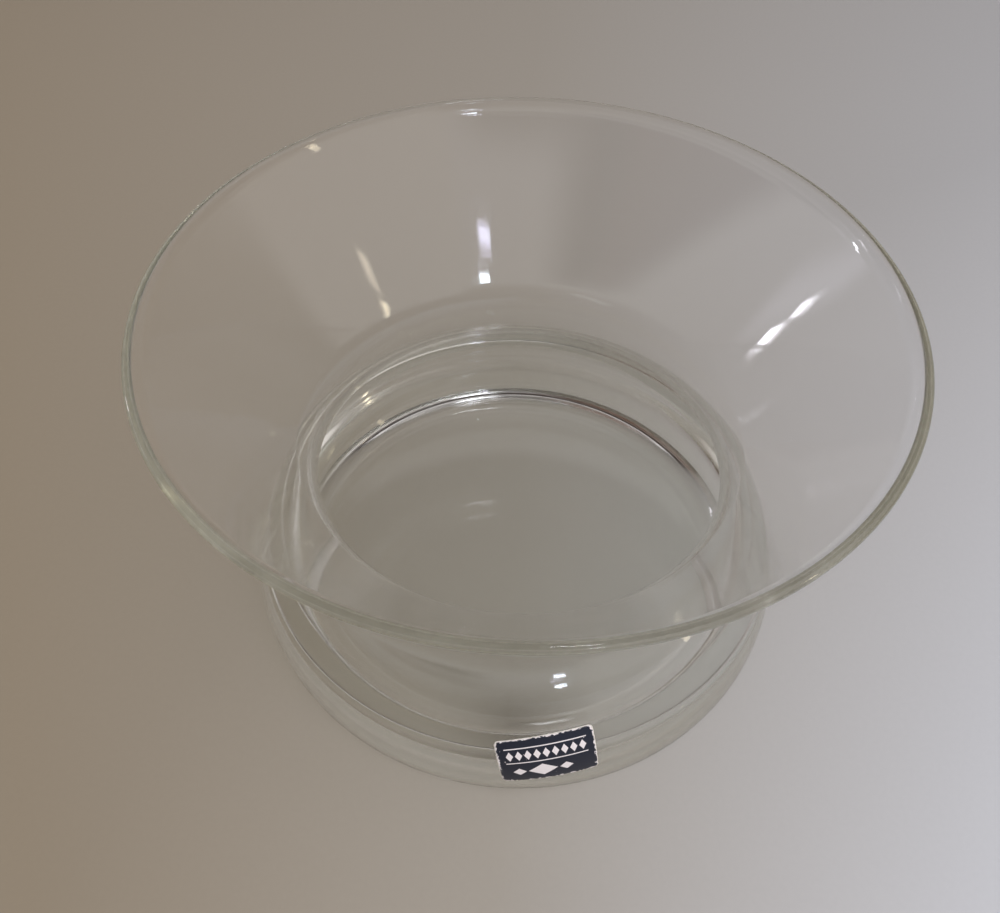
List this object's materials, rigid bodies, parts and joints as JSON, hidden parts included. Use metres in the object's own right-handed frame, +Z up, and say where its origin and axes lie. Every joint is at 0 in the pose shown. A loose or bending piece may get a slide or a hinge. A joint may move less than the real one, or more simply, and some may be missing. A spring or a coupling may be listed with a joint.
{
  "type": "waisted glass bowl",
  "caption": "Clear glass bowl with a wide funnel rim, a narrow waist and a domed hollow foot, with a small label on the foot.",
  "frame": {"origin": "middle of the foot's underside, on the surface that the bowl stands on", "axes": "+Z up along the axis that the glass is turned about; the label faces -Y, a little towards +X"},
  "size_m": [0.22, 0.22, 0.1276],
  "materials": {
    "clear_glass": "fire-polished, clear, faint green in its thick edges",
    "label_adhesive": "matte white adhesive film",
    "label_paper": "satin printed paper, navy, worn at the edges"
  },
  "bodies": {
    "root": {"glass_bowl": "clear_glass", "label_adhesive": "label_adhesive", "label_face": "label_paper"}
  },
  "joints": []
}
